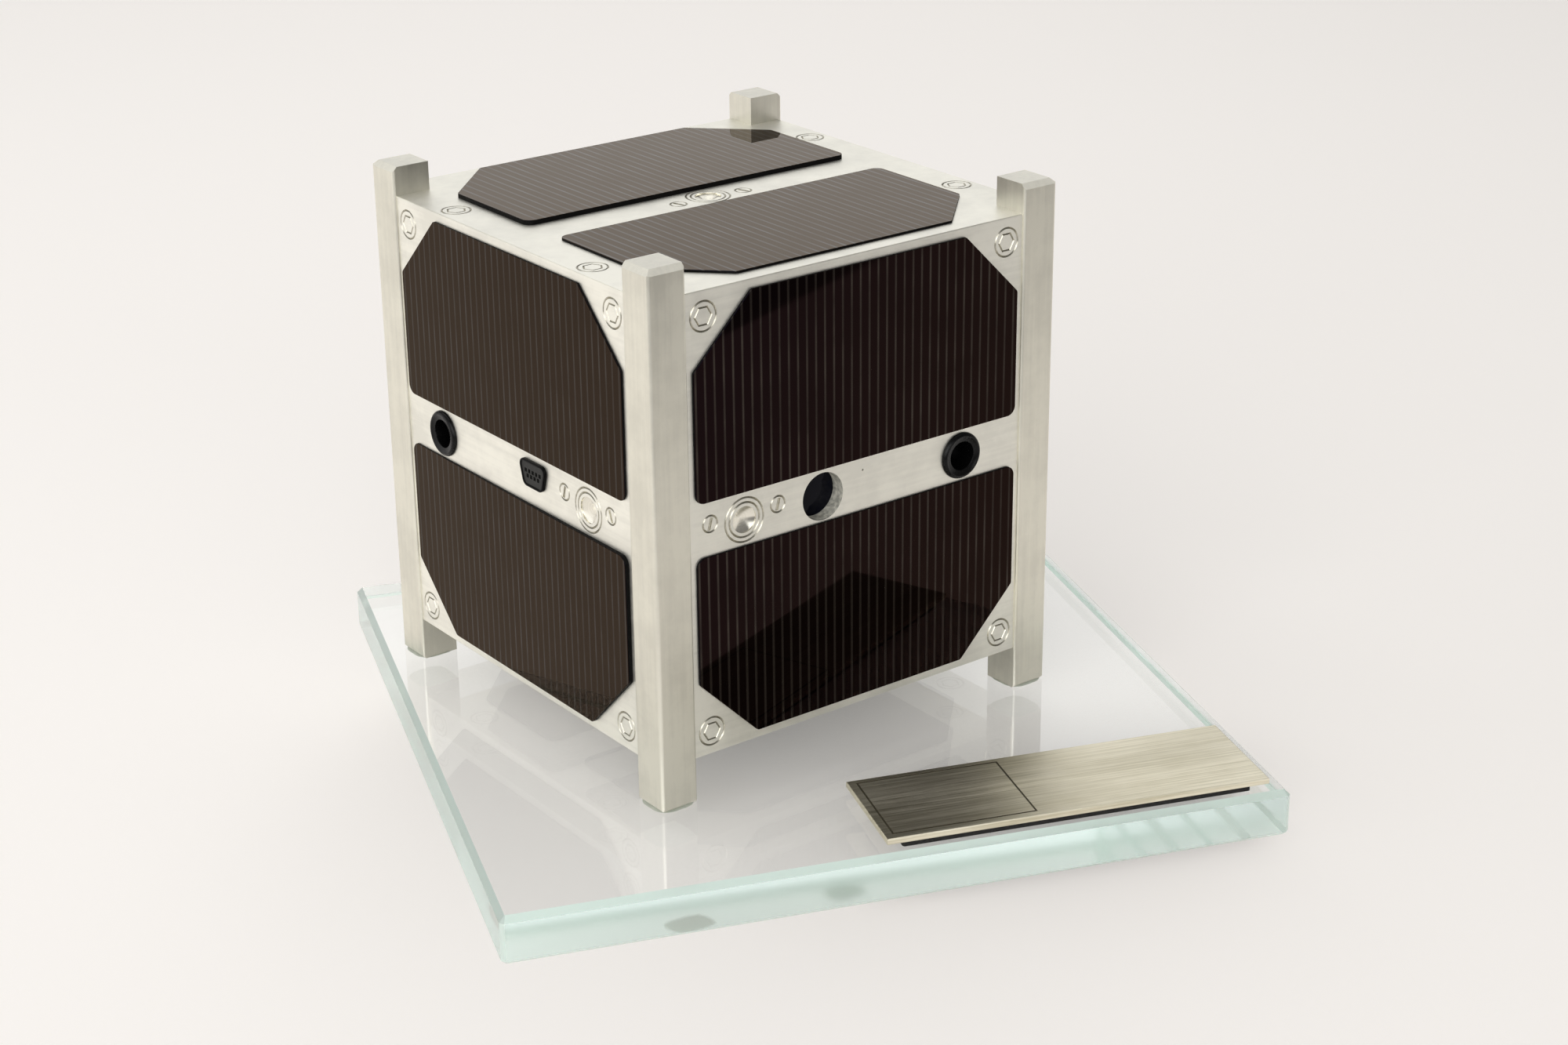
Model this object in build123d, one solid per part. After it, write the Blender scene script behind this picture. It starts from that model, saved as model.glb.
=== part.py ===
"""Full-size display model of a one-unit cube satellite, standing on a square glass base.

Frame: millimetres, +Z up, origin at the centre of the glass base's underside,
+X along the base's front edge, +Y towards its back edge. The satellite has a frame
of its own, with its origin between the feet of its four rails, and stands turned on the base.
"""
import os

from build123d import *

# ---- Glass base -------------------------------------------------------------
BASE_SIDE = 160.0
BASE_THICKNESS = 10.0
BASE_TOP_ARRIS = 1.2
BASE_BOTTOM_ARRIS = 0.8
BASE_CORNER_ARRIS = 0.8

# ---- Satellite: where it stands ---------------------------------------------
SATELLITE_X = -11.3
SATELLITE_Y = 13.5
SATELLITE_TURN = 20.0

# ---- Satellite: structure ---------------------------------------------------
SATELLITE_WIDTH = 100.0
RAIL_SIDE = 8.5
RAIL_LENGTH = 111.0
RAIL_OUTER_RADIUS = 0.75
RAIL_EDGE_RADIUS = 0.6
RAIL_TOP_CHAMFER = 1.1
RAIL_FOOT_CHAMFER = 0.7
BODY_BOTTOM = 9.3
BODY_TOP = 104.9
PANEL_INSET = 0.6
PANEL_THICKNESS = 3.2

BODY_HEIGHT = BODY_TOP - BODY_BOTTOM
BODY_MIDDLE = (BODY_TOP + BODY_BOTTOM) / 2
PANEL_WIDTH = SATELLITE_WIDTH - 2 * RAIL_SIDE
FACE_REACH = SATELLITE_WIDTH / 2 - PANEL_INSET

# ---- Solar cells ------------------------------------------------------------
CELL_WIDTH = 80.4
CELL_HEIGHT = 40.3
CELL_START = 5.6
CELL_CROP = 13.8
CELL_CROP_RADIUS = 0.9
CELL_INNER_RADIUS = 2.0
CELL_PROUD = 0.5

# ---- Sun sensor dish, in every panel: a cone with a step at its rim, inside two turned V grooves ----
DISH_RADIUS = 2.75
DISH_STEP = 0.35
DISH_CENTRE_DEPTH = 1.6
DISH_GROOVE_RADII = (3.56, 4.55)
DISH_GROOVE_WIDTH = 0.4
DISH_GROOVE_DEPTH = 0.2

# ---- Camera opening and its glass -------------------------------------------
CAMERA_U = -9.4
CAMERA_W = -0.25
CAMERA_RADIUS = 5.0
CAMERA_GLASS_RADIUS = 6.0
CAMERA_GLASS_THICKNESS = 1.5

# ---- Round sockets ----------------------------------------------------------
SOCKET_COLLAR_RADIUS = 4.9
SOCKET_SKIRT = 0.25
SOCKET_SHOULDER_RADIUS = 4.7
SOCKET_SHOULDER = 0.65
SOCKET_RIM_RADIUS = 4.2
SOCKET_RIM = 0.9
SOCKET_MOUTH = 0.6
SOCKET_SLEEVE_RADIUS = 4.3
SOCKET_BORE_RADIUS = 3.0
SOCKET_FLOOR = -4.1
SOCKET_BACK = -4.9

# ---- Nine-way data connector ------------------------------------------------
CONNECTOR_U = 7.4
CONNECTOR_W = 1.2
CONNECTOR_TOP_WIDTH = 10.0
CONNECTOR_BOTTOM_WIDTH = 6.8
CONNECTOR_HEIGHT = 5.7
CONNECTOR_CORNER = 1.5
CONNECTOR_PROUD = 0.7
CONNECTOR_WALL = 0.5
CONNECTOR_FACE_DEPTH = 0.2
CONTACT_SIDE = 0.85
CONTACT_DEPTH = 0.8
CONTACT_PITCH = 1.27
CONTACT_ROW_GAP = 1.09

# ---- Name plate and its pad, placed on the base -----------------------------
PLATE_X = 35.7
PLATE_Y = -65.9
PLATE_LENGTH = 80.0
PLATE_WIDTH = 25.0
PLATE_THICKNESS = 1.2
PLATE_EDGE = 0.25
PAD_LENGTH = 73.0
PAD_WIDTH = 20.0
PAD_THICKNESS = 1.5

# Each panel: its outward normal, the way its u axis runs, and where its sun sensor dish is.
# name: (normal, u axis, dish u, dish w)
PANELS = {
    "front": ((0, -1, 0), (1, 0, 0), -28.6, -0.25),
    "left": ((-1, 0, 0), (0, -1, 0), 26.6, -0.25),
    "back": ((0, 1, 0), (-1, 0, 0), -28.6, -0.25),
    "right": ((1, 0, 0), (0, 1, 0), -28.6, -0.25),
    "top": ((0, 0, 1), (1, 0, 0), 0.3, 0.9),
    "bottom": ((0, 0, -1), (1, 0, 0), 0.3, 0.9),
}

# Each solar cell: its panel, which side of the middle band it is on, how far from the panel's middle
# it starts, and how proud it stands at its two ends, along the panel's u axis. One was laid on an uneven bed.
# name: (panel, side, start, proud at the -u end, proud at the +u end)
CELLS = {
    "cell_front_upper": ("front", 1, CELL_START, CELL_PROUD, CELL_PROUD),
    "cell_front_lower": ("front", -1, CELL_START, CELL_PROUD, CELL_PROUD),
    "cell_left_upper": ("left", 1, CELL_START, CELL_PROUD, CELL_PROUD),
    "cell_left_lower": ("left", -1, CELL_START, 0.4, 1.0),
    "cell_back_upper": ("back", 1, CELL_START, CELL_PROUD, CELL_PROUD),
    "cell_back_lower": ("back", -1, CELL_START, CELL_PROUD, CELL_PROUD),
    "cell_right_upper": ("right", 1, CELL_START, CELL_PROUD, CELL_PROUD),
    "cell_right_lower": ("right", -1, CELL_START, CELL_PROUD, CELL_PROUD),
    "cell_top_back": ("top", 1, CELL_START, 1.6, 1.6),
    "cell_top_front": ("top", -1, 5.1, CELL_PROUD, CELL_PROUD),
    "cell_bottom_front": ("bottom", 1, CELL_START, CELL_PROUD, CELL_PROUD),
    "cell_bottom_back": ("bottom", -1, CELL_START, CELL_PROUD, CELL_PROUD),
}

# Each round socket: its panel and its place on it.
# name: (panel, u, w)
SOCKETS = {"socket_front": ("front", 26.0, -0.1), "socket_left": ("left", -27.4, -0.1)}

# Each rail: which way it stands from the satellite's middle.
# name: (x side, y side)
RAILS = {
    "rail_front_left": (-1, -1),
    "rail_front_right": (1, -1),
    "rail_back_left": (-1, 1),
    "rail_back_right": (1, 1),
}


def face_plane(name):
    """The outer surface of a panel: u runs along it, w up it, and its normal points out."""
    normal, u_axis = PANELS[name][:2]
    middle = Vector(0, 0, BODY_MIDDLE)
    reach = BODY_HEIGHT / 2 if normal[2] else FACE_REACH
    return Plane(origin=middle + Vector(*normal) * reach, x_dir=u_axis, z_dir=normal)


def on_face(name, u=0.0, w=0.0):
    """A place on a panel, as a location whose Z points out of it."""
    return face_plane(name).location * Pos(u, w, 0)


def satellite_place():
    """Where the satellite's own frame lies on the base."""
    return Pos(SATELLITE_X, SATELLITE_Y, BASE_THICKNESS) * Rot(0, 0, SATELLITE_TURN)


def glass_base():
    """A float glass square with ground and polished edges."""
    block = Pos(0, 0, BASE_THICKNESS / 2) * Box(BASE_SIDE, BASE_SIDE, BASE_THICKNESS)
    block = chamfer(block.edges().filter_by(Axis.Z), BASE_CORNER_ARRIS)
    block = chamfer(block.faces().sort_by(Axis.Z)[-1].edges(), BASE_TOP_ARRIS)
    return chamfer(block.faces().sort_by(Axis.Z)[0].edges(), BASE_BOTTOM_ARRIS)


def name_plate():
    """A blank engraver's plate, its upper edges just broken."""
    z = BASE_THICKNESS + PAD_THICKNESS + PLATE_THICKNESS / 2
    plate = Pos(PLATE_X, PLATE_Y, z) * Box(PLATE_LENGTH, PLATE_WIDTH, PLATE_THICKNESS)
    return chamfer(plate.faces().sort_by(Axis.Z)[-1].edges(), PLATE_EDGE)


def plate_pad():
    """The foam pad that holds the name plate off the glass."""
    z = BASE_THICKNESS + PAD_THICKNESS / 2
    return Pos(PLATE_X, PLATE_Y, z) * Box(PAD_LENGTH, PAD_WIDTH, PAD_THICKNESS)


def rail(x_side, y_side):
    """A square rail with rounded long edges, its ends chamfered on the outer sides."""
    middle = (SATELLITE_WIDTH - RAIL_SIDE) / 2
    blank = Pos(x_side * middle, y_side * middle, RAIL_LENGTH / 2) * Box(RAIL_SIDE, RAIL_SIDE, RAIL_LENGTH)
    for end, cut in ((-1, RAIL_TOP_CHAMFER), (0, RAIL_FOOT_CHAMFER)):
        rim = blank.faces().sort_by(Axis.Z)[end].edges()
        rim = rim.filter_by(lambda e: max(abs(e.center().X), abs(e.center().Y)) > middle + 1)
        blank = chamfer(rim, cut)
    section = make_face(Rectangle(RAIL_SIDE, RAIL_SIDE).edges())
    outer = section.vertices().filter_by(lambda v: v.X * x_side > 0 and v.Y * y_side > 0)
    section = fillet(outer, RAIL_OUTER_RADIUS)
    beside = section.vertices().filter_by(lambda v: v.X * x_side * v.Y * y_side < -RAIL_SIDE)
    section = fillet(beside, RAIL_EDGE_RADIUS)
    return blank & extrude(Pos(x_side * middle, y_side * middle, 0) * section, RAIL_LENGTH)


def side_panel():
    """A side panel in its own plane: butted to the rails, mitred to the top and bottom plates."""
    half = BODY_HEIGHT / 2
    inner = half - PANEL_THICKNESS
    back = -PANEL_THICKNESS
    profile = Polyline((-half, 0), (half, 0), (inner, back), (-inner, back), close=True)
    section = Plane(origin=(-PANEL_WIDTH / 2, 0, 0), x_dir=(0, 1, 0), z_dir=(1, 0, 0)) * make_face(profile)
    return extrude(section, PANEL_WIDTH)


def end_plate():
    """A top or bottom plate in its own plane: mitred all round, notched for the rails."""
    plate = extrude(Rectangle(2 * FACE_REACH, 2 * FACE_REACH), -PANEL_THICKNESS, taper=45)
    middle = (SATELLITE_WIDTH - RAIL_SIDE) / 2
    notch = Box(RAIL_SIDE, RAIL_SIDE, 4 * PANEL_THICKNESS)
    for x_side, y_side in RAILS.values():
        plate -= Pos(x_side * middle, y_side * middle, 0) * notch
    return plate


def turned(*points):
    """A shape turned about Z from an outline of (radius, height)."""
    return revolve(Plane.XZ * make_face(Polyline(*points, close=True)), Axis.Z)


def dish():
    """What a lathe takes out for a sun sensor: a cone with a step at its rim."""
    return turned(
        (0, PANEL_THICKNESS), (0, -DISH_CENTRE_DEPTH), (DISH_RADIUS, -DISH_STEP),
        (DISH_RADIUS, PANEL_THICKNESS),
    )


def dish_groove(radius):
    """A V groove turned round a dish."""
    half = DISH_GROOVE_WIDTH / 2
    return turned((radius - half, 0), (radius, -DISH_GROOVE_DEPTH), (radius + half, 0))


def connector_outline(margin=0.0):
    """The connector's D, wide side up. A margin draws it that much smaller all round."""
    top = CONNECTOR_TOP_WIDTH / 2
    bottom = CONNECTOR_BOTTOM_WIDTH / 2
    half = CONNECTOR_HEIGHT / 2
    outline = make_face(Polyline((-top, half), (top, half), (bottom, -half), (-bottom, -half), close=True))
    outline = fillet(outline.vertices(), CONNECTOR_CORNER)
    return offset(outline, -margin) if margin else outline


def panel(name):
    """A panel with its dish and its cut-outs, on the satellite."""
    _, _, dish_u, dish_w = PANELS[name]
    plate = end_plate() if name in ("top", "bottom") else side_panel()
    plate -= Pos(dish_u, dish_w, 0) * dish()
    for radius in DISH_GROOVE_RADII:
        plate -= Pos(dish_u, dish_w, 0) * dish_groove(radius)
    if name == "front":
        plate -= Pos(CAMERA_U, CAMERA_W, 0) * Cylinder(CAMERA_RADIUS, 4 * PANEL_THICKNESS)
    for socket_panel, u, w in SOCKETS.values():
        if socket_panel == name:
            plate -= Pos(u, w, 0) * Cylinder(SOCKET_SLEEVE_RADIUS, 4 * PANEL_THICKNESS)
    if name == "left":
        hole = extrude(connector_outline(), 2 * PANEL_THICKNESS, both=True)
        plate -= Pos(CONNECTOR_U, CONNECTOR_W, 0) * hole
    return face_plane(name).location * plate


def cell(panel_name, side, near, proud_start, proud_end):
    """A solar cell: two corners cropped on its outer side, two rounded beside the band."""
    half = CELL_WIDTH / 2
    far = near + CELL_HEIGHT
    outline = Polyline(
        (-half, near), (half, near), (half, far - CELL_CROP), (half - CELL_CROP, far),
        (CELL_CROP - half, far), (-half, far - CELL_CROP), close=True,
    )
    shape = make_face(outline)
    inner = shape.vertices().filter_by(lambda v: abs(v.Y - near) < 0.1)
    shape = fillet(inner, CELL_INNER_RADIUS)
    cropped = shape.vertices().filter_by(lambda v: v.Y > near + CELL_INNER_RADIUS + 0.1)
    shape = fillet(cropped, CELL_CROP_RADIUS)
    turn = Rot(0, 0, 0 if side > 0 else 180)
    block = turn * extrude(shape, max(proud_start, proud_end))
    if proud_start != proud_end:
        ends = Polyline((-half, 0), (half, 0), (half, proud_end), (-half, proud_start), close=True)
        block &= extrude(Plane.XZ * make_face(ends), far, both=True)
    return face_plane(panel_name).location * block


def camera_glass():
    """The dark glass behind the camera opening."""
    glass = Cylinder(CAMERA_GLASS_RADIUS, CAMERA_GLASS_THICKNESS)
    z = -PANEL_THICKNESS - CAMERA_GLASS_THICKNESS / 2
    return on_face("front", CAMERA_U, CAMERA_W) * Pos(0, 0, z) * glass


def socket(panel_name, u, w):
    """A round socket: a rolled collar on the panel, a dished mouth and a blind bore in its sleeve."""
    body = turned(
        (0, SOCKET_FLOOR), (SOCKET_BORE_RADIUS, SOCKET_FLOOR), (SOCKET_BORE_RADIUS, SOCKET_MOUTH),
        (SOCKET_RIM_RADIUS, SOCKET_RIM), (SOCKET_SHOULDER_RADIUS, SOCKET_SHOULDER),
        (SOCKET_COLLAR_RADIUS, SOCKET_SKIRT), (SOCKET_COLLAR_RADIUS, 0), (SOCKET_SLEEVE_RADIUS, 0),
        (SOCKET_SLEEVE_RADIUS, SOCKET_BACK), (0, SOCKET_BACK),
    )
    return on_face(panel_name, u, w) * body


def connector_shell():
    """The connector's open shell, through the panel and proud of it."""
    tube = extrude(connector_outline(), CONNECTOR_PROUD + PANEL_THICKNESS)
    tube -= extrude(connector_outline(CONNECTOR_WALL), CONNECTOR_PROUD + PANEL_THICKNESS)
    return on_face("left", CONNECTOR_U, CONNECTOR_W) * Pos(0, 0, -PANEL_THICKNESS) * tube


def connector_insert():
    """The moulded insert in the shell, with five contact holes over four."""
    height = CONNECTOR_PROUD + PANEL_THICKNESS - CONNECTOR_FACE_DEPTH
    block = extrude(connector_outline(CONNECTOR_WALL), height)
    for row, count in ((1, 5), (-1, 4)):
        for i in range(count):
            u = (i - (count - 1) / 2) * CONTACT_PITCH
            contact = Box(CONTACT_SIDE, CONTACT_SIDE, 2 * CONTACT_DEPTH)
            block -= Pos(u, row * CONTACT_ROW_GAP / 2, height) * contact
    return on_face("left", CONNECTOR_U, CONNECTOR_W) * Pos(0, 0, -PANEL_THICKNESS) * block


def satellite():
    """Every piece of the satellite, in its own frame."""
    pieces = {name: rail(*sides) for name, sides in RAILS.items()}
    for name in PANELS:
        pieces[f"panel_{name}"] = panel(name)
    for name, row in CELLS.items():
        pieces[name] = cell(*row)
    for name, row in SOCKETS.items():
        pieces[name] = socket(*row)
    pieces["camera_glass"] = camera_glass()
    pieces["connector_shell"] = connector_shell()
    pieces["connector_insert"] = connector_insert()
    return pieces


def main():
    nodes = {"base_glass": glass_base(), "name_plate": name_plate(), "plate_pad": plate_pad()}
    place = satellite_place()
    for name, piece in satellite().items():
        nodes[name] = place * piece
    os.makedirs("parts", exist_ok=True)
    for name, piece in nodes.items():
        export_step(piece, f"parts/{name}.step")
        print(f"{name:20s} {piece.volume:12.1f} mm3")


main()
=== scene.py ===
# %% [markdown]
# # A one-unit cube satellite on a glass base
#
# This is a display model: a full-size copy of a small satellite that people keep on a desk.
# A machined aluminium box, 100 mm wide, hangs between four square rails. Every side carries two
# dark solar cells with a bare band between them, and screws and sensors are engraved where
# the flying one has real ones. The rails are glued to a square of polished glass, and a blank
# metal plate lies along the base's front edge.
#
# The solids come from the CAD model, and this lesson dresses them. Lengths are in millimetres
# in the tables, and are turned to metres by multiplying with MM.

# %% Opening the CAD model
import math

import bmesh
import bpy
from mathutils import Euler, Matrix, Vector


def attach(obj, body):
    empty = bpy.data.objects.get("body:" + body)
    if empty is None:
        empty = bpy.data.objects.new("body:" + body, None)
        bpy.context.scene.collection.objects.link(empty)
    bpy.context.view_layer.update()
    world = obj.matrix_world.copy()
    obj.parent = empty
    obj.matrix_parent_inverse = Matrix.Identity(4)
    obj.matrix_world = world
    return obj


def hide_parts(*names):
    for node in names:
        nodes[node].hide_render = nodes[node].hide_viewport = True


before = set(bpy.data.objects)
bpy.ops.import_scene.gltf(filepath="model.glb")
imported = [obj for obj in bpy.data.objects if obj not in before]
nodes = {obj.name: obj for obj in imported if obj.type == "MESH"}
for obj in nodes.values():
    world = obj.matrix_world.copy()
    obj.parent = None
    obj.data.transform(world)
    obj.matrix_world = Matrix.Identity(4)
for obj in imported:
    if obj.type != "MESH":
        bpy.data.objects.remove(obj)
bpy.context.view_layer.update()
MM = 0.001
print("nodes in the CAD model:", len(nodes))

# %% [markdown]
# ## Where things are
#
# The satellite stands turned by 20 degrees on its base. Working in turned coordinates by hand is
# slow and easy to get wrong, so each face of the box gets a small frame of its own: u runs along
# the face, w up it, and the third axis points out of it. A piece is modelled flat on the world's
# floor, where u is X and w is Y, and is then carried to its face by one matrix.

# %% A frame for every face of the box
TURN = math.radians(20)
BASE_SIDE, BASE_THICKNESS = 160.0, 10.0
FOOT_MIDDLE = Vector((-11.3, 13.5, BASE_THICKNESS))
SATELLITE = Matrix.Translation(FOOT_MIDDLE * MM) @ Matrix.Rotation(TURN, 4, "Z")
RAIL_SIDE = 8.5
RAIL_MIDDLE = 50 - RAIL_SIDE / 2
# How far the panels' faces are from the middle, and how high the body is above the rails' feet
FACE_REACH = 49.4
BODY_BOTTOM = 9.3
BODY_TOP = 104.9
BODY_MIDDLE = (BODY_TOP + BODY_BOTTOM) / 2
BODY_HEIGHT = BODY_TOP - BODY_BOTTOM

# name: (outward normal, u axis)
FACES = {
    "front": ((0, -1, 0), (1, 0, 0)),
    "left": ((-1, 0, 0), (0, -1, 0)),
    "back": ((0, 1, 0), (-1, 0, 0)),
    "right": ((1, 0, 0), (0, 1, 0)),
    "top": ((0, 0, 1), (1, 0, 0)),
    "bottom": ((0, 0, -1), (1, 0, 0)),
}


def face_matrix(name):
    """The matrix that carries a piece from the floor plane to its face."""
    normal, u = (Vector(axis) for axis in FACES[name])
    w = normal.cross(u)
    reach = BODY_HEIGHT / 2 if normal.z else FACE_REACH
    place = Matrix((u, w, normal)).transposed().to_4x4()
    place.translation = (Vector((0, 0, BODY_MIDDLE)) + normal * reach) * MM
    return SATELLITE @ place


for name in FACES:
    out = face_matrix(name).to_3x3() @ Vector((0, 0, 1))
    print(f"{name:7s} looks along {out.x:+.2f} {out.y:+.2f} {out.z:+.2f}")

# %% [markdown]
# ## The camera
#
# It comes first, so that every later piece can be looked at through it. It is a portrait-length
# lens about 60 cm away, looking down at the front corner. It is set up in the order of a tripod's
# head: pan, then tilt, then a touch of roll.

# %% Camera
CAMERA_TARGET = Vector((2.28, 8.21, 43.23)) * MM
CAMERA_DISTANCE = 608.3 * MM
CAMERA_PAN = math.radians(-17.02)
CAMERA_TILT = math.radians(22.43)
CAMERA_ROLL = math.radians(-0.62)
FOCAL_LENGTH, SENSOR_WIDTH = 65.34, 36.0

bpy.ops.object.select_all(action="DESELECT")
bpy.ops.object.camera_add()
camera = bpy.context.object
camera.name = "camera"
camera.data.lens = FOCAL_LENGTH
camera.data.sensor_width = SENSOR_WIDTH
aim = Euler((math.pi / 2 - CAMERA_TILT, 0, CAMERA_PAN)).to_matrix().to_4x4()
aim = aim @ Matrix.Rotation(CAMERA_ROLL, 4, "Z")
backwards = aim.to_3x3() @ Vector((0, 0, CAMERA_DISTANCE))
camera.matrix_world = Matrix.Translation(CAMERA_TARGET + backwards) @ aim
bpy.context.scene.camera = camera
print("camera at", [round(c, 4) for c in camera.matrix_world.translation])

# %% [markdown]
# ## Helpers for making materials
#
# Colours are written as the sRGB hex values that a designer would pick, and one function turns
# them to the linear values that the renderer wants. One more function adds any node: it takes
# the settings for the node's own options and sockets, and the links that come into it.

# %% Colour and node helpers
def linear(hex_colour):
    """An sRGB hex colour as linear red, green, blue and an alpha of 1."""
    parts = [int(hex_colour[i:i + 2], 16) / 255 for i in (1, 3, 5)]
    return tuple(c / 12.92 if c <= 0.04045 else ((c + 0.055) / 1.055) ** 2.4 for c in parts) + (1.0,)


def darker(colour, share):
    """A linear colour with a share of its light taken away."""
    return tuple(c * (1 - share) for c in colour[:3]) + (1.0,)


def add(material, kind, settings=None, links=None):
    """Adds a node with its settings, and links its inputs from other nodes' outputs."""
    node = material.node_tree.nodes.new(kind)
    for key, value in (settings or {}).items():
        if isinstance(key, int) or key in node.inputs:
            node.inputs[key].default_value = value
        else:
            setattr(node, key, value)
    for key, output in (links or {}).items():
        material.node_tree.links.new(output, node.inputs[key])
    return node


def new_material(name):
    """An empty material."""
    material = bpy.data.materials.new(name)
    material.use_nodes = True
    material.node_tree.nodes.clear()
    return material


def finished(material, shader, more=None):
    """The material with its shader, and any more links, on its output."""
    add(material, "ShaderNodeOutputMaterial", links={"Surface": shader.outputs["BSDF"]} | (more or {}))
    return material


def ramp(material, factor, stops):
    """A colour ramp with stops given as (position, colour)."""
    node = add(material, "ShaderNodeValToRGB", links={"Fac": factor})
    elements = node.color_ramp.elements
    while len(elements) < len(stops):
        elements.new(0.5)
    for element, (position, colour) in zip(elements, stops):
        element.position = position
        element.color = colour
    return node


# %% [markdown]
# ## Fine-milled aluminium
#
# The box and rails are aluminium, milled flat and then blasted with fine glass beads. The
# milling leaves faint long streaks, and the beads leave a fine even grain that spreads
# reflections, so the metal looks like pale satin. Bare, unlacquered metal also picks up
# faint handling marks. Each of the three is a noise texture. The streaks, stretched along the
# cutter's path, and the marks vary the roughness, and the tone a little. The streaks and the
# grain are a fine bump as well.

# %% Aluminium
MARK_SHADE = 0.12
# A bar's ends and its sloping arrises are what faces up or down by more than this.
RUBBED_SLOPE = 0.4


def milled_aluminium(name, colour, streak_scale, sheen, rubbed=0.0):
    """Satin aluminium with streaks along one axis, and a lowest and highest roughness.

    Scales are in cycles per metre. Rubbed is how matt the ends and arrises are, from 0 to 1.
    """
    material = new_material(name)
    place = add(material, "ShaderNodeTexCoord").outputs["Object"]
    lined = add(material, "ShaderNodeMapping", {"Rotation": (0, 0, -TURN), "Scale": streak_scale},
                {"Vector": place})
    streaks = add(material, "ShaderNodeTexNoise", {"Scale": 1.0, "Detail": 4.0, "Roughness": 0.6},
                  {"Vector": lined.outputs["Vector"]})
    # Bead-blast grain is about 0.1 mm. It is drawn at 0.25 mm so that it shows.
    grain = add(material, "ShaderNodeTexNoise", {"Scale": 4000.0, "Detail": 2.0}, {"Vector": place})
    # Handling marks are soft patches 10 to 20 mm across.
    marks = add(material, "ShaderNodeTexNoise", {"Scale": 70.0, "Detail": 5.0, "Roughness": 0.65},
                {"Vector": place})
    mixed = add(material, "ShaderNodeMath", {"operation": "MULTIPLY_ADD", 1: 0.5},
                {0: streaks.outputs["Fac"], 2: marks.outputs["Fac"]})
    roughness = add(material, "ShaderNodeMapRange",
                    {"From Min": 0.4, "From Max": 1.1, "To Min": sheen[0], "To Max": sheen[1]},
                    {"Value": mixed.outputs["Value"]})
    base = linear(colour)
    tone = ramp(material, mixed.outputs["Value"], [(0.62, darker(base, MARK_SHADE)), (0.86, base)])
    heights = add(material, "ShaderNodeMath", {"operation": "MULTIPLY_ADD", 1: 0.6},
                  {0: grain.outputs["Fac"], 2: streaks.outputs["Fac"]})
    bump = add(material, "ShaderNodeBump", {"Strength": 0.3, "Distance": 0.00002},
               {"Height": heights.outputs["Value"]})
    shader = add(material, "ShaderNodeBsdfPrincipled", {"Metallic": 1.0},
                 {"Base Color": tone.outputs["Color"], "Roughness": roughness.outputs["Result"],
                  "Normal": bump.outputs["Normal"]})
    if rubbed:
        facing = add(material, "ShaderNodeNewGeometry").outputs["True Normal"]
        axes = add(material, "ShaderNodeSeparateXYZ", links={"Vector": facing})
        slope = add(material, "ShaderNodeMath", {"operation": "ABSOLUTE"}, {0: axes.outputs["Z"]})
        at_end = add(material, "ShaderNodeMath", {"operation": "GREATER_THAN", 1: RUBBED_SLOPE},
                     {0: slope.outputs["Value"]})
        metal = add(material, "ShaderNodeMath", {"operation": "MULTIPLY_ADD", 1: -rubbed, 2: 1.0},
                    {0: at_end.outputs["Value"]})
        material.node_tree.links.new(metal.outputs["Value"], shader.inputs["Metallic"])
    return finished(material, shader)


# Panels were milled across, so their streaks are short upwards and long sideways.
PANEL_METAL = milled_aluminium("bead_blasted_aluminium", "#F6F4EA", (30.0, 30.0, 900.0), (0.4, 0.52))
# Rails are drawn bar, with streaks along their length. Their ends and arrises were rubbed down by
# hand, and fine scratches in every direction scatter light as a matt paint does.
RAIL_METAL = milled_aluminium("drawn_aluminium_bar", "#E8E5D8", (700.0, 700.0, 25.0), (0.34, 0.46), 0.85)
print("aluminium:", PANEL_METAL.name, "and", RAIL_METAL.name)

# %% [markdown]
# Three more finishes show inside the cuts. An engraver's groove has shiny burnished walls: one side
# catches the light and the other mirrors the shade. Its metal is also drawn darker than the panel's,
# which is painted shade in the groove. A turned dish has fine rings left by the lathe, which fan
# its reflections out from the middle: that is an anisotropic shader whose tangent runs along the
# radius, taken from a UV map. The wall of a drilled hole is bright, and scored by the drill's
# flutes where they rubbed.

# %% Metal inside the cuts
def cut_metal(name, colour, roughness, metallic, grain, contrast):
    """Metal inside a cut. Its grain is in cycles per metre, and contrast is how dark the grain gets."""
    material = new_material(name)
    place = add(material, "ShaderNodeTexCoord").outputs["Object"]
    noise = add(material, "ShaderNodeTexNoise", {"Scale": grain, "Detail": 3.0}, {"Vector": place})
    full = linear(colour)
    tone = ramp(material, noise.outputs["Fac"], [(0.35, darker(full, contrast)), (0.65, full)])
    bump = add(material, "ShaderNodeBump", {"Strength": 0.3, "Distance": 0.00004},
               {"Height": noise.outputs["Fac"]})
    shader = add(material, "ShaderNodeBsdfPrincipled", {"Metallic": metallic, "Roughness": roughness},
                 {"Base Color": tone.outputs["Color"], "Normal": bump.outputs["Normal"]})
    return finished(material, shader)


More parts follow.
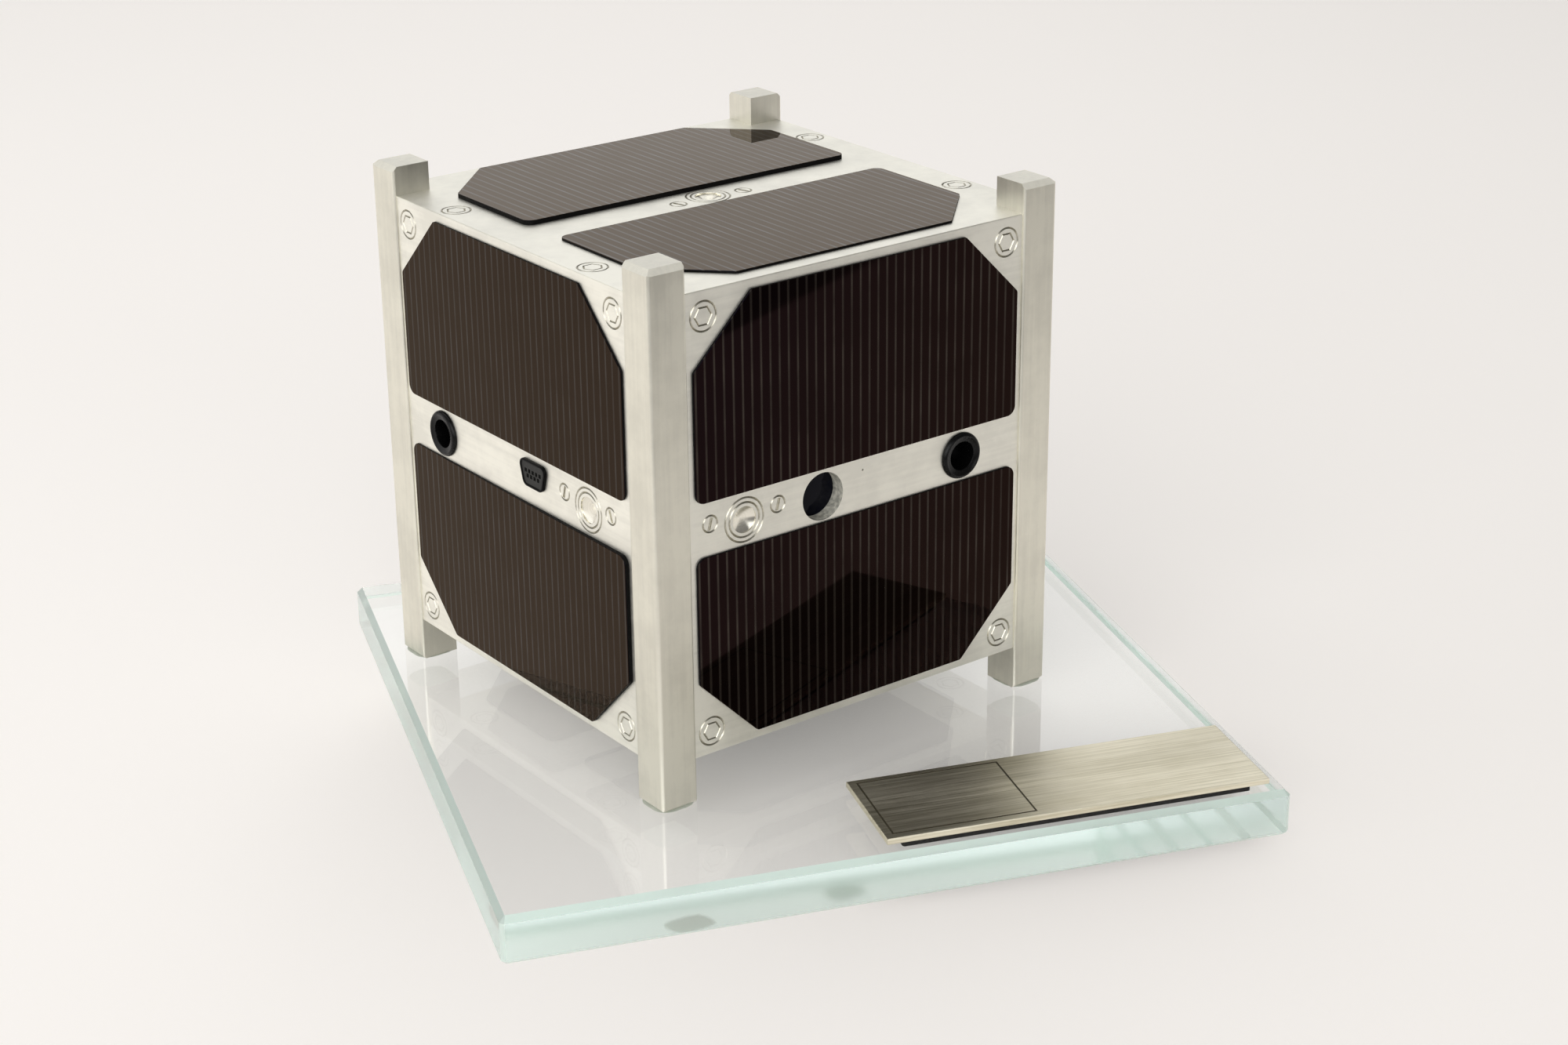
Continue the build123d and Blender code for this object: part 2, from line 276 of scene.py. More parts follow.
def turned_metal(name, colour):
    """Metal with a lathe's rings. Reads a UV map whose U is the distance from the centre."""
    material = new_material(name)
    along = add(material, "ShaderNodeTangent", {"direction_type": "UV_MAP", "uv_map": "turning"})
    radius = add(material, "ShaderNodeSeparateXYZ",
                 links={"Vector": add(material, "ShaderNodeUVMap", {"uv_map": "turning"}).outputs["UV"]})
    # The tool moves 0.05 mm a turn. The rings are drawn at 0.2 mm, so that some of them show.
    rings = add(material, "ShaderNodeTexNoise", {"noise_dimensions": "1D", "Scale": 5.0, "Detail": 2.0},
                {"W": radius.outputs["X"]})
    tone = ramp(material, rings.outputs["Fac"], [(0.35, linear("#E2DED1")), (0.65, linear(colour))])
    shader = add(material, "ShaderNodeBsdfPrincipled",
                 {"Metallic": 1.0, "Roughness": 0.2, "Anisotropic": 0.9},
                 {"Base Color": tone.outputs["Color"], "Tangent": along.outputs["Tangent"]})
    return finished(material, shader)


# The groove's metal is darker than the panel's: painted shade in the groove.
SHADED_GROOVE_METAL = cut_metal("burnished_engraving_with_painted_shade", "#C9C5B6", 0.3, 1.0, 2500.0, 0.3)
TURNED_METAL = turned_metal("lathe_turned_aluminium", "#F2EFE4")
WALL_METAL = cut_metal("drilled_aluminium_wall", "#E9E7DA", 0.5, 0.35, 1100.0, 0.5)
PANEL_FINISHES = [PANEL_METAL, SHADED_GROOVE_METAL, TURNED_METAL, WALL_METAL]
IN_GROOVE, IN_DISH, IN_HOLE = 1, 2, 3
print("panel finishes:", [finish.name for finish in PANEL_FINISHES])

# %% [markdown]
# ## Helpers for modelling
#
# Every piece starts as a primitive and is shaped in edit mode. An operator acts on whatever is
# selected, so each piece starts by deselecting everything, and each edit starts by picking
# vertices, edges or faces by where they are, to a hair's breadth.

# %% Modelling helpers
HAIR = 0.01
# How many steps a round shape is made in
ROUND_STEPS = 96
# The angles that smooth shading is told to keep sharp: on flat pieces and on turned ones
FLAT_PIECE, TURNED_PIECE = 15, 40


def start():
    """Nothing is selected, and the cursor is at the origin."""
    if bpy.context.object and bpy.context.object.mode != "OBJECT":
        bpy.ops.object.mode_set(mode="OBJECT")
    bpy.ops.object.select_all(action="DESELECT")
    bpy.context.scene.cursor.location = (0, 0, 0)


def hold(piece):
    """Selects one piece alone and makes it the active one."""
    start()
    bpy.context.view_layer.objects.active = piece
    piece.select_set(True)


def edit(piece, kind="FACE"):
    """Goes into edit mode on one piece."""
    hold(piece)
    bpy.ops.object.mode_set(mode="EDIT")
    bpy.ops.mesh.select_mode(type=kind)


def pick(piece, kind, test):
    """In edit mode, selects just the verts, edges or faces whose centre (in mm) passes the test."""
    bpy.ops.mesh.select_mode(type={"verts": "VERT", "edges": "EDGE", "faces": "FACE"}[kind])
    bpy.ops.mesh.select_all(action="DESELECT")
    mesh = bmesh.from_edit_mesh(piece.data)
    for item in getattr(mesh, kind):
        if kind == "verts":
            centre = item.co / MM
        elif kind == "edges":
            centre = (item.verts[0].co + item.verts[1].co) / 2 / MM
        else:
            centre = item.calc_center_median() / MM
        if test(centre):
            item.select_set(True)
    mesh.select_flush_mode()
    bmesh.update_edit_mesh(piece.data)


def done():
    """Back to object mode."""
    bpy.ops.object.mode_set(mode="OBJECT")


def box(name, size, centre=(0, 0, 0)):
    """A cube primitive at a size and place in mm, with both in its mesh."""
    start()
    bpy.ops.mesh.primitive_cube_add(size=1, location=Vector(centre) * MM)
    piece = bpy.context.object
    piece.name = name
    piece.scale = Vector(size) * MM
    bpy.ops.object.transform_apply(location=True, rotation=True, scale=True)
    return piece


def sheet(name, width, height, centre=(0, 0, 0)):
    """A plane primitive at a size and place in mm, with both in its mesh."""
    start()
    bpy.ops.mesh.primitive_plane_add(size=1, location=Vector(centre) * MM)
    piece = bpy.context.object
    piece.name = name
    piece.scale = (width * MM, height * MM, 1)
    bpy.ops.object.transform_apply(location=True, rotation=True, scale=True)
    return piece


def thicken(height):
    """In edit mode, draws a flat outline up by a height in mm, and leaves its top selected."""
    bpy.ops.mesh.select_all(action="SELECT")
    bpy.ops.mesh.extrude_region_move(TRANSFORM_OT_translate={"value": (0, 0, height * MM)})


def face_outwards():
    """In edit mode, turns every face to point outwards."""
    bpy.ops.mesh.select_all(action="SELECT")
    bpy.ops.mesh.normals_make_consistent(inside=False)


def carry(piece, matrix):
    """Moves a finished piece by a matrix, and keeps its object at the origin."""
    hold(piece)
    piece.matrix_world = matrix @ piece.matrix_world
    bpy.ops.object.transform_apply(location=True, rotation=True, scale=True)
    return piece


def set_in(piece, face, u, w):
    """Carries a finished piece to its place on a face."""
    carry(piece, face_matrix(face) @ Matrix.Translation((u * MM, w * MM, 0)))


def join(name, pieces):
    """Several pieces as one."""
    start()
    for piece in pieces:
        piece.select_set(True)
    bpy.context.view_layer.objects.active = pieces[0]
    if len(pieces) > 1:
        bpy.ops.object.join()
    joined = bpy.context.object
    joined.name = name
    return joined


def cut(piece, cutter):
    """Takes the cutter's shape out of the piece, and the cutter away."""
    hold(piece)
    modifier = piece.modifiers.new("cut", "BOOLEAN")
    modifier.operation = "DIFFERENCE"
    modifier.solver = "EXACT"
    modifier.object = cutter
    bpy.ops.object.modifier_apply(modifier=modifier.name)
    bpy.data.objects.remove(cutter)


def smooth(piece, degrees):
    """Smooth shading that keeps every edge sharper than the angle.

    A bevel of two segments turns 22.5 degrees at each step. Under a flat face the angle stays below
    that, or the bevel's normals leak into the flat and bend its reflections.
    """
    hold(piece)
    bpy.ops.object.shade_smooth_by_angle(angle=math.radians(degrees))


def turned(name, profile):
    """A shape turned on a lathe: a closed profile of (radius, height) in mm, spun about Z."""
    start()
    bpy.ops.mesh.primitive_plane_add(size=MM)
    piece = bpy.context.object
    piece.name = name
    bpy.ops.object.mode_set(mode="EDIT")
    bpy.ops.mesh.select_mode(type="VERT")
    bpy.ops.mesh.select_all(action="SELECT")
    bpy.ops.mesh.merge(type="CENTER")
    here = Vector((profile[0][0], 0, profile[0][1])) * MM
    bpy.ops.transform.translate(value=here)
    for radius, height in list(profile[1:]) + [profile[0]]:
        there = Vector((radius, 0, height)) * MM
        bpy.ops.mesh.extrude_region_move(TRANSFORM_OT_translate={"value": there - here})
        here = there
    bpy.ops.mesh.select_all(action="SELECT")
    bpy.ops.mesh.spin(steps=ROUND_STEPS, angle=math.tau, center=(0, 0, 0), axis=(0, 0, 1))
    bpy.ops.mesh.select_all(action="SELECT")
    bpy.ops.mesh.remove_doubles(threshold=0.000002)
    bpy.ops.mesh.delete_loose()
    face_outwards()
    if bmesh.from_edit_mesh(piece.data).calc_volume(signed=True) < 0:
        bpy.ops.mesh.flip_normals()
    done()
    return piece


def coat(piece, materials, index=0):
    """Gives a piece its list of materials, and all its faces the one at the index."""
    piece.data.materials.clear()
    for material in materials:
        piece.data.materials.append(material)
    for polygon in piece.data.polygons:
        polygon.material_index = index
    return piece


def dress(piece, replaces=None):
    """Gives a finished piece its place in the model."""
    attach(piece, "root")
    if replaces:
        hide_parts(replaces)


def paint(names, material):
    """Gives CAD nodes a better material."""
    for name in names:
        for slot in nodes[name].material_slots:
            slot.material = material


# %% [markdown]
# ## The rails
#
# The four rails are the only parts that would touch the launcher, so on the real thing they are
# hard, smooth and square, with rounded outer edges. The CAD solids already have that shape, and
# only need their metal.

# %% Rails
RAILS = [name for name in nodes if name.startswith("rail_")]
paint(RAILS, RAIL_METAL)
print("rails:", len(RAILS))

# %% [markdown]
# ## The panels and what is engraved in them
#
# Each panel is a plate with mitred edges, so that no joint shows on the outside. The screw heads
# are not real: an engraver cut them with a pointed tool, which leaves a V-shaped groove that
# catches light on one wall and shade on the other. A ring with a four-sided section, about half
# sunk in the surface, cuts just such a groove. With six segments the same ring is a hexagon.
# Cutters stay clear of one another, and no corner of one lies exactly in the surface, because a
# boolean can't tell what is inside there.

# %% Cutters for the engraving
GROOVE_WIDTH, GROOVE_DEPTH, GROOVE_LIFT = 0.46, 0.22, 0.02
HEXAGON = 6
HEAD_RING, KEY_RING = 2.95, 1.95
SLOTTED_RING, SLOT_SIZE = 1.68, (0.7, 2.6, 0.3)


def groove_ring(radius, sides=ROUND_STEPS):
    """A ring that cuts a V-groove, round or with a few straight sides."""
    start()
    bpy.ops.mesh.primitive_torus_add(
        major_segments=sides, minor_segments=4,
        major_radius=radius * MM, minor_radius=GROOVE_WIDTH / 2 * MM,
    )
    ring = bpy.context.object
    ring.location.z = GROOVE_LIFT * MM
    ring.scale.z = 2 * GROOVE_DEPTH / GROOVE_WIDTH
    bpy.ops.object.transform_apply(location=True, rotation=True, scale=True)
    return ring


def at(piece, u, w, degrees=0.0):
    """Puts a cutter at its place on the face."""
    spot = Matrix.Translation((u * MM, w * MM, 0))
    return carry(piece, spot @ Matrix.Rotation(math.radians(degrees), 4, "Z"))


def hex_screw(u, w):
    """A socket-head screw: the head's ring and the key's hexagon."""
    rings = [groove_ring(HEAD_RING), groove_ring(KEY_RING, HEXAGON)]
    return [at(coat(ring, PANEL_FINISHES, IN_GROOVE), u, w) for ring in rings]


def slotted_screw(u, w, degrees):
    """A slotted screw: the head's ring and a straight slot across it."""
    slot = box("slot", SLOT_SIZE)
    parts = (groove_ring(SLOTTED_RING), slot)
    return [at(coat(part, PANEL_FINISHES, IN_GROOVE), u, w, degrees) for part in parts]


DISH_PROFILE = [(0, 0.4), (0, -1.6), (2.75, -0.35), (2.75, 0.4)]
DISH_GROOVES = (3.56, 4.55)


def sensor_dish(u, w):
    """A turned cone with a step at its rim, and two grooves round it."""
    cone = coat(turned("dish", DISH_PROFILE), PANEL_FINISHES, IN_DISH)
    grooves = [coat(groove_ring(radius), PANEL_FINISHES, IN_GROOVE) for radius in DISH_GROOVES]
    return [at(part, u, w) for part in [cone] + grooves]


def map_turning(piece, u, w):
    """A UV map whose U is the distance from a dish's centre in mm and whose V is the angle round it."""
    layer = piece.data.uv_layers.new(name="turning")
    for polygon in piece.data.polygons:
        x, y, _ = polygon.center / MM - Vector((u, w, 0))
        middle = math.atan2(y, x)
        for index in polygon.loop_indices:
            x, y, _ = piece.data.vertices[piece.data.loops[index].vertex_index].co / MM - Vector((u, w, 0))
            radius = math.hypot(x, y)
            swing = math.remainder(math.atan2(y, x) - middle, math.tau) if radius > HAIR else 0.0
            layer.data[index].uv = (radius, middle + swing)


# %% [markdown]
# The panels themselves are cubes whose back face is drawn in by the plate's own thickness, which
# makes the 45 degree mitre. The outer edges get a tiny bevel, because a sharp edge never shows
# the fine line of light that a broken one does.

# %% Panel blanks
PANEL_THICKNESS = 3.2
PANEL_WIDTH = 83.0
END_WIDTH = 2 * FACE_REACH
EDGE_BREAK = 0.18


def panel_blank(name, is_end):
    """A mitred plate lying under the floor plane, its outer face at height 0."""
    width, height = (END_WIDTH, END_WIDTH) if is_end else (PANEL_WIDTH, BODY_HEIGHT)
    plate = box(name, (width, height, PANEL_THICKNESS), (0, 0, -PANEL_THICKNESS / 2))
    edit(plate)
    pick(plate, "faces", lambda c: c.z < -PANEL_THICKNESS + HAIR)
    drawn_in = (height - 2 * PANEL_THICKNESS) / height
    bpy.ops.transform.resize(value=(drawn_in if is_end else 1, drawn_in, 1), center_override=(0, 0, 0))
    pick(plate, "edges", lambda c: c.z > -HAIR and (is_end or abs(c.y) > height / 2 - HAIR))
    bpy.ops.mesh.bevel(offset=EDGE_BREAK * MM, segments=2)
    done()
    return plate


# %% The engraving on each panel
# name: (sensor dish, slotted screws as (u, w, lean), hexagon screws)
SIDE_SCREWS = [(u, w) for u in (-37.3, 37.3) for w in (-42.9, 42.7)]
END_SCREWS = [(u, w) for u in (-45.2, 45.2) for w in (-24.8, 24.8)]
ENGRAVED = {
    "front": ((-28.6, -0.25), [(-36.7, 0.95, -15), (-20.5, 0.95, -15)], SIDE_SCREWS),
    "left": ((26.6, -0.25), [(18.2, 0.95, -15), (34.4, 0.95, 20)], SIDE_SCREWS),
    "back": ((-28.6, -0.25), [(-36.7, 0.95, 10), (-20.5, 0.95, -30)], SIDE_SCREWS),
    "right": ((-28.6, -0.25), [(-36.7, 0.95, -40), (-20.5, 0.95, 25)], SIDE_SCREWS),
    "top": ((0.3, 0.9), [(-7.8, -0.1, 20), (8.5, -0.1, 20)], END_SCREWS),
    "bottom": ((0.3, 0.9), [(-7.8, -0.1, -20), (8.5, -0.1, 40)], END_SCREWS),
}
CAMERA_U, CAMERA_W, CAMERA_RADIUS = -9.4, -0.25, 5.0
SOCKET_RADIUS = 4.3
# u, w, radius and depth
PIN_HOLE = (0.6, 2.9, 0.22, 0.6)
# A cutter goes right through, and stands clear of the face.
THROUGH, CLEAR = 8, 1
NOTCH_SIZE = (RAIL_SIDE, RAIL_SIDE, 12)
SOCKETS = {"socket_front": ("front", 26.0, -0.1), "socket_left": ("left", -27.4, -0.1)}
CONNECTOR_U, CONNECTOR_W = 7.4, 1.2


def round_hole(u, w, radius, depth=THROUGH):
    """A cutter for a drilled hole."""
    hole = turned("hole", [(0, CLEAR), (0, -depth), (radius, -depth), (radius, CLEAR)])
    return at(coat(hole, PANEL_FINISHES, IN_HOLE), u, w)


def make_panel(name):
    """An engraved panel with its holes, still lying flat at the floor plane."""
    plate = coat(panel_blank("engraved_panel_" + name, name in ("top", "bottom")), PANEL_FINISHES)
    if name in ("top", "bottom"):
        corners = [(x * RAIL_MIDDLE, y * RAIL_MIDDLE, 0) for x in (-1, 1) for y in (-1, 1)]
        notches = [box("notch", NOTCH_SIZE, corner) for corner in corners]
        cut(plate, coat(join("notches", notches), PANEL_FINISHES))
    dish, slotted, hexes = ENGRAVED[name]
    cutters = sensor_dish(*dish)
    for row in slotted:
        cutters += slotted_screw(*row)
    for place in hexes:
        cutters += hex_screw(*place)
    cutters += [round_hole(u, w, SOCKET_RADIUS) for face, u, w in SOCKETS.values() if face == name]
    if name == "front":
        cutters.append(round_hole(CAMERA_U, CAMERA_W, CAMERA_RADIUS))
        cutters.append(round_hole(*PIN_HOLE))
    cut(plate, join("engraving", cutters))
    map_turning(plate, *dish)
    return plate


# %% [markdown]
# The connector's opening is a D: a rectangle whose lower side is shorter, with rounded corners.
# It is drawn as a plane with its two lower corners moved in, and its corners are bevelled as
# vertices, which rounds a flat outline. The bevel is measured along the edges, so a corner
# sharper than a right angle needs a wider one for the same radius.

# %% The connector's outline
# Widths at the top and bottom, the height, and the corners' radius
D_TOP, D_BOTTOM, D_HEIGHT, D_CORNER = 10.0, 6.8, 5.7, 1.5
D_LEAN = math.atan((D_TOP - D_BOTTOM) / 2 / D_HEIGHT)


def d_block(name, margin, low, high):
    """A block with the D outline drawn in by a margin, from one height to another, in mm."""
    height = D_HEIGHT - 2 * margin
    top = D_TOP - 2 * margin * (1 / math.cos(D_LEAN) + math.tan(D_LEAN))
    bottom = D_BOTTOM - 2 * margin * (1 / math.cos(D_LEAN) - math.tan(D_LEAN))
    block = sheet(name, top, height, (0, 0, low))
    edit(block, "VERT")
    pick(block, "verts", lambda c: c.y < 0)
    bpy.ops.transform.resize(value=(bottom / top, 1, 1), center_override=(0, 0, 0))
    for side in (1, -1):
        pick(block, "verts", lambda c: c.y * side > height / 4)
        along = (D_CORNER - margin) / math.tan((math.pi / 2 - side * D_LEAN) / 2)
        bpy.ops.mesh.bevel(offset=along * MM, segments=8, affect="VERTICES")
    thicken(high - low)
    face_outwards()
    done()
    return block


# %% All six panels
for name in FACES:
    panel = make_panel(name)
    if name == "left":
        opening = coat(d_block("opening", 0, -THROUGH, 2 * CLEAR), PANEL_FINISHES, IN_HOLE)
        cut(panel, at(opening, CONNECTOR_U, CONNECTOR_W))
    smooth(panel, FLAT_PIECE)
    carry(panel, face_matrix(name))
    dress(panel, "panel_" + name)
    print(panel.name, "faces:", len(panel.data.polygons))

# %% [markdown]
# ## Moulded and bare surfaces
#
# Several small pieces share one plain kind of surface: an even colour with a faint grain that
# shifts its roughness. A function makes one of these from a colour, a roughness and a grain. It
# does for plastics, foam and set glue, and for the bare cut side of a crystal.

# %% A plain surface
def plain_surface(name, colour, roughness, grain, ior=1.48):
    """A surface that isn't metal, with a faint grain whose size is given in cycles per metre."""
    material = new_material(name)
    place = add(material, "ShaderNodeTexCoord").outputs["Object"]
    noise = add(material, "ShaderNodeTexNoise", {"Scale": grain, "Detail": 3.0}, {"Vector": place})
    rough = add(material, "ShaderNodeMapRange",
                {"From Min": 0.3, "From Max": 0.7, "To Min": roughness * 0.8, "To Max": roughness * 1.25},
                {"Value": noise.outputs["Fac"]})
    full = linear(colour)
    tone = ramp(material, noise.outputs["Fac"], [(0.3, darker(full, 0.2)), (0.7, full)])
    bump = add(material, "ShaderNodeBump", {"Strength": 0.1, "Distance": 0.00002},
               {"Height": noise.outputs["Fac"]})
    shader = add(material, "ShaderNodeBsdfPrincipled", {"IOR": ior},
                 {"Base Color": tone.outputs["Color"], "Roughness": rough.outputs["Result"],
                  "Normal": bump.outputs["Normal"]})
    return finished(material, shader)


# %% [markdown]
# ## Solar cells
#
# A space solar cell is a slice of dark crystal under a thin cover glass. It is cut from a round
# wafer, which is why two of its corners are cropped. Fine silver lines, the grid fingers, run
# over the crystal to gather the current. The cover glass has an anti-reflection coating, a
# film a tenth of a micrometre thick. Seen square on it cancels nearly all of the mirrored light
# but a little red, and at a low angle it mirrors much more, which the shader's thin film
# works out. The fingers are metal, so where they run the shader turns metallic: a finger
# is bright where it mirrors a light, and vanishes where it mirrors the dark.

# %% Solar cell material
CELL_PITCH = 2.19


def cell_material():
    """Dark crystal with grid fingers, under coated cover glass.

    Reads a UV map whose U is the distance from the first finger in millimetres.
    """
    material = new_material("coated_solar_cell")
    across = add(material, "ShaderNodeUVMap", {"uv_map": "across"}).outputs["UV"]
    place = add(material, "ShaderNodeTexCoord").outputs["Object"]
    u = add(material, "ShaderNodeSeparateXYZ", links={"Vector": across}).outputs["X"]
    beat = add(material, "ShaderNodeMath", {"operation": "PINGPONG", 1: CELL_PITCH / 2}, {0: u})
    # A finger is about 0.4 mm wide, with soft edges.
    finger = add(material, "ShaderNodeMapRange",
                 {"From Min": 0.1, "From Max": 0.32, "To Min": 1.0, "To Max": 0.0},
                 {"Value": beat.outputs["Value"]})
    # Plating is patchy: each finger is brighter in some places than in others.
    patchy = add(material, "ShaderNodeTexNoise", {"Scale": 120.0, "Detail": 3.0}, {"Vector": place})
    strength = add(material, "ShaderNodeMapRange",
                   {"From Min": 0.35, "From Max": 0.7, "To Min": 0.45, "To Max": 1.0},
                   {"Value": patchy.outputs["Fac"]})
    shown = add(material, "ShaderNodeMath", {"operation": "MULTIPLY"},
                {0: finger.outputs["Result"], 1: strength.outputs["Result"]})
    crystal = ramp(material, patchy.outputs["Fac"], [(0.35, linear("#010101")), (0.7, linear("#030202"))])
    # On a colour Mix node, socket 6 is A, socket 7 is B and output 2 is the colour.
    colour = add(material, "ShaderNodeMix", {"data_type": "RGBA", 7: linear("#403A35")},
                 {"Factor": shown.outputs["Value"], 6: crystal.outputs["Color"]})
    # Polished glass is never quite clean: a thin haze of dust and wiping lifts the roughness.
    haze = add(material, "ShaderNodeTexNoise", {"Scale": 45.0, "Detail": 6.0, "Roughness": 0.7},
               {"Vector": place})
    roughness = add(material, "ShaderNodeMapRange",
                    {"From Min": 0.3, "From Max": 0.75, "To Min": 0.02, "To Max": 0.06},
                    {"Value": haze.outputs["Fac"]})
    # The film's thickness is in nanometres.
    shader = add(material, "ShaderNodeBsdfPrincipled",
                 {"IOR": 1.5, "Thin Film Thickness": 111.0, "Thin Film IOR": 1.29},
                 {"Base Color": colour.outputs[2], "Metallic": shown.outputs["Value"],
                  "Roughness": roughness.outputs["Result"]})
    return finished(material, shader)


CELL_GLASS = cell_material()
print("cell glass:", CELL_GLASS.name, "with a finger every", CELL_PITCH, "mm")

# %% [markdown]
# Each cell starts as a plane. Bevelling its two outer corners as vertices crops them, a small
# bevel softens the four crop points, and a rounder one does the two corners beside the band.
# Then the outline is extruded to the cell's thickness and its upper edge is broken. One cell was
# laid on an uneven bed of glue, so its top is turned by half a degree. The cut sides of a cell
# are bare, dark crystal.

# %% Cells
CELL_WIDTH, CELL_HEIGHT, CELL_START = 80.4, 40.3, 5.6
# CROP_BEVEL rounds a crop point, which turns by 45 degrees, to a radius of about 0.9 mm.
CELL_CROP, CROP_BEVEL, CELL_INNER_RADIUS, CELL_EDGE_BREAK = 13.8, 0.378, 2.0, 0.08

# name: (face, side of the band, where it starts from the middle, how proud it stands, how much
# prouder its +u end is than its -u end, distance from its edge to its first finger)
CELLS = {
    "cell_front_upper": ("front", 1, CELL_START, 0.5, 0.0, 0.46),
    "cell_front_lower": ("front", -1, CELL_START, 0.5, 0.0, 1.19),
    "cell_left_upper": ("left", 1, CELL_START, 0.5, 0.0, 0.91),
    "cell_left_lower": ("left", -1, CELL_START, 0.7, 0.6, 0.5),
    "cell_back_upper": ("back", 1, CELL_START, 0.5, 0.0, 0.9),
    "cell_back_lower": ("back", -1, CELL_START, 0.5, 0.0, 0.9),
    "cell_right_upper": ("right", 1, CELL_START, 0.5, 0.0, 0.9),
    "cell_right_lower": ("right", -1, CELL_START, 0.5, 0.0, 0.9),
    "cell_top_back": ("top", 1, CELL_START + 0.3, 1.0, 0.0, 0.04),
    "cell_top_front": ("top", -1, 5.1, 0.5, 0.0, 1.06),
    "cell_bottom_front": ("bottom", 1, CELL_START, 0.5, 0.0, 0.9),
    "cell_bottom_back": ("bottom", -1, CELL_START, 0.5, 0.0, 0.9),
}
CELL_EDGE = plain_surface("bare_cell_edge", "#060505", 0.6, 2500.0, 1.2)


def make_cell(name, near, proud, rise, first_finger):
    """A cell on the floor plane, its band side towards -Y and near mm from the middle.

    It stands proud by a height at its middle, and its +X end is higher than its -X end by the rise.
    """
    plate = sheet(name, CELL_WIDTH, CELL_HEIGHT, (0, near + CELL_HEIGHT / 2, 0))
    far = near + CELL_HEIGHT
    edit(plate, "VERT")
    pick(plate, "verts", lambda c: c.y > far - HAIR)
    bpy.ops.mesh.bevel(offset=CELL_CROP * MM, segments=1, affect="VERTICES")
    pick(plate, "verts", lambda c: c.y > near + HAIR)
    bpy.ops.mesh.bevel(offset=CROP_BEVEL * MM, segments=4, affect="VERTICES")
    pick(plate, "verts", lambda c: c.y < near + HAIR)
    bpy.ops.mesh.bevel(offset=CELL_INNER_RADIUS * MM, segments=8, affect="VERTICES")
    thicken(proud)
    if rise:
        bpy.ops.transform.rotate(value=math.atan(rise / CELL_WIDTH), orient_axis="Y",
                                 center_override=(0, 0, proud * MM))
    face_outwards()
    pick(plate, "faces", lambda c: c.z > proud - HAIR)
    bpy.ops.mesh.region_to_loop()
    bpy.ops.mesh.bevel(offset=CELL_EDGE_BREAK * MM, segments=2)
    done()
    coat(plate, [CELL_GLASS, CELL_EDGE])
    for polygon in plate.data.polygons:
        polygon.material_index = 1 if abs(polygon.normal.z) < 0.2 else 0
    layer = plate.data.uv_layers.new(name="across")
    for loop in plate.data.loops:
        x, y, _ = plate.data.vertices[loop.vertex_index].co / MM
        layer.data[loop.index].uv = (x + CELL_WIDTH / 2 - first_finger, y)
    return plate


for name, (face, side, near, proud, rise, first_finger) in CELLS.items():
    plate = make_cell("glazed_" + name, near, proud, rise * side, first_finger)
    smooth(plate, FLAT_PIECE)
    carry(plate, face_matrix(face) @ Matrix.Rotation(0 if side > 0 else math.pi, 4, "Z"))
    dress(plate, name)
print("cells:", len(CELLS), "faces each:", len(plate.data.polygons))

# %% [markdown]
# ## Sockets, camera glass and connector
#
# The sockets are turned from black acetal, a hard plastic with a low sheen. Their collars are
# rolled over the panel and their mouths are dished. On a lathe that is one profile, spun.

# %% Plastics and dark glass
ACETAL = plain_surface("black_turned_acetal", "#060606", 0.25, 3000.0, 1.28)
SHELL_NYLON = plain_surface("black_moulded_nylon", "#050505", 0.35, 3500.0, 1.15)
INSERT_NYLON = plain_surface("grey_glass_filled_nylon", "#2B2B29", 0.5, 4500.0, 1.3)
# A lens coating cancels most reflections, which a low IOR stands for.
LENS_GLASS = plain_surface("coated_lens_glass", "#04050F", 0.04, 500.0, 1.18)
# The foam is real black tape, and its dark line under the name plate is also painted shade.
FOAM_TAPE_AND_SHADE = plain_surface("black_foam_tape_and_painted_shade", "#1B1A19", 0.8, 2500.0)
for finish in (ACETAL, SHELL_NYLON, INSERT_NYLON, LENS_GLASS, FOAM_TAPE_AND_SHADE):
    print("plain surface:", finish.name)

# %% Sockets
SOCKET_PROFILE = [
    (0, -4.1), (3.0, -4.1), (3.0, 0.42), (3.06, 0.54), (3.2, 0.6), (3.75, 0.66), (4.05, 0.84), (4.2, 0.9),
    (4.45, 0.86), (4.7, 0.65), (4.83, 0.45), (4.9, 0.25), (4.9, 0), (4.28, 0), (4.28, -4.9), (0, -4.9),
]
for name, (face, u, w) in SOCKETS.items():
    socket = coat(turned("turned_" + name, SOCKET_PROFILE), [ACETAL])
    smooth(socket, TURNED_PIECE)
    set_in(socket, face, u, w)
    dress(socket, name)
    print(socket.name, "faces:", len(socket.data.polygons))

# %% Camera glass
LENS_PROFILE = [(0, -4.7), (6, -4.7), (6, -3.2), (4.6, -3.2), (4.4, -3.26), (3.0, -3.2), (0, -3.05)]
lens = turned("domed_camera_glass", LENS_PROFILE)
smooth(lens, TURNED_PIECE)
set_in(lens, "front", CAMERA_U, CAMERA_W)
dress(coat(lens, [LENS_GLASS]), "camera_glass")
print(lens.name, "faces:", len(lens.data.polygons))

# %% [markdown]
# The connector is a moulded shell with a harder insert. Its nine contacts are square holes, five
# over four. Nine small blocks are joined to one cutter, which makes all the holes at once.

